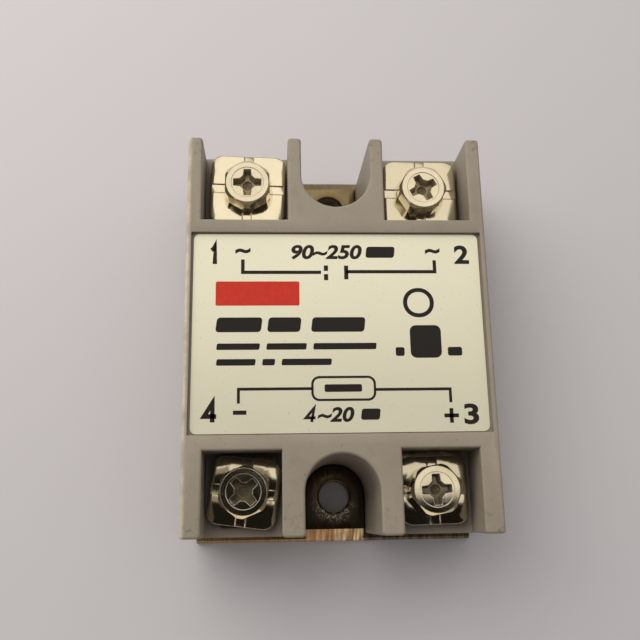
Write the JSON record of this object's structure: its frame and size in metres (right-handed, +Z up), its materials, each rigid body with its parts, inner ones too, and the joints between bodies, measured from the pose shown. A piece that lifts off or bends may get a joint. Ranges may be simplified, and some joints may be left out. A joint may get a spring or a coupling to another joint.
{
  "type": "solid state relay",
  "caption": "Panel-mount solid state relay: plastic housing on a metal base plate, open bays with clamp screws at both ends, mounting notches and a recessed label.",
  "frame": {"origin": "centre of the base plate's underside", "axes": "+Z up through the label, +Y towards the output terminals 1 and 2, +X to the right when the label is read"},
  "size_m": [0.045, 0.0618, 0.021],
  "materials": {
    "plate_plating": "nickel plated",
    "housing_plastic": "fine moulded",
    "label_sheet": "semi-gloss printed",
    "strip_plating": "plated",
    "clamp_plating": "nickel plated",
    "screw_plating": "nickel plated",
    "alumina": "fired",
    "black_epoxy": "moulded",
    "white_epoxy": "moulded",
    "tinned_wire": "tinned",
    "board_laminate": "solder mask",
    "can_sleeve": "sleeve",
    "film_case": "moulded case",
    "resistor_body": "lacquer",
    "potting_resin": "cast resin"
  },
  "bodies": {
    "relay": {"base_plate": "plate_plating", "housing": "housing_plastic", "label": "label_sheet", "terminal_strip_1": "strip_plating", "terminal_strip_2": "strip_plating", "terminal_strip_3": "strip_plating", "terminal_strip_4": "strip_plating", "insulator": "alumina", "triac": "black_epoxy", "gate_lead": "tinned_wire", "circuit_board": "board_laminate", "optocoupler": "white_epoxy", "bridge_rectifier": "black_epoxy", "control_chip": "black_epoxy", "filter_capacitor": "can_sleeve", "snubber_capacitor": "film_case", "snubber_resistor": "resistor_body", "dropper_resistor": "resistor_body", "input_resistor": "resistor_body", "input_diode": "black_epoxy", "potting": "potting_resin"},
    "clamp_1": {"clamp_plate_1": "clamp_plating"},
    "screw_1": {"terminal_screw_1": "screw_plating"},
    "clamp_2": {"clamp_plate_2": "clamp_plating"},
    "screw_2": {"terminal_screw_2": "screw_plating"},
    "clamp_3": {"clamp_plate_3": "clamp_plating"},
    "screw_3": {"terminal_screw_3": "screw_plating"},
    "clamp_4": {"clamp_plate_4": "clamp_plating"},
    "screw_4": {"terminal_screw_4": "screw_plating"}
  },
  "joints": [
    {"name": "lift_1", "type": "slide", "parent": "relay", "child": "clamp_1", "axis": [0, 0, 1], "range_m": [0, 0.004]},
    {"name": "turn_1", "type": "hinge", "parent": "clamp_1", "child": "screw_1", "pos_m": [-0.0136, 0.0236, 0.0154], "axis": [0, 0, 1], "range_deg": [0, 2058]},
    {"name": "lift_2", "type": "slide", "parent": "relay", "child": "clamp_2", "axis": [0, 0, 1], "range_m": [0, 0.004]},
    {"name": "turn_2", "type": "hinge", "parent": "clamp_2", "child": "screw_2", "pos_m": [0.014, 0.0229, 0.0154], "axis": [0, 0, 1], "range_deg": [0, 2058]},
    {"name": "lift_3", "type": "slide", "parent": "relay", "child": "clamp_3", "axis": [0, 0, 1], "range_m": [0, 0.004]},
    {"name": "turn_3", "type": "hinge", "parent": "clamp_3", "child": "screw_3", "pos_m": [0.0137, -0.0236, 0.0154], "axis": [0, 0, 1], "range_deg": [0, 2058]},
    {"name": "lift_4", "type": "slide", "parent": "relay", "child": "clamp_4", "axis": [0, 0, 1], "range_m": [0, 0.004]},
    {"name": "turn_4", "type": "hinge", "parent": "clamp_4", "child": "screw_4", "pos_m": [-0.0139, -0.0235, 0.0154], "axis": [0, 0, 1], "range_deg": [0, 2058]}
  ],
  "couplings": [
    {"joint": "turn_1", "follows": "lift_1", "rad_per_m": 8976},
    {"joint": "turn_2", "follows": "lift_2", "rad_per_m": 8976},
    {"joint": "turn_3", "follows": "lift_3", "rad_per_m": 8976},
    {"joint": "turn_4", "follows": "lift_4", "rad_per_m": 8976}
  ]
}
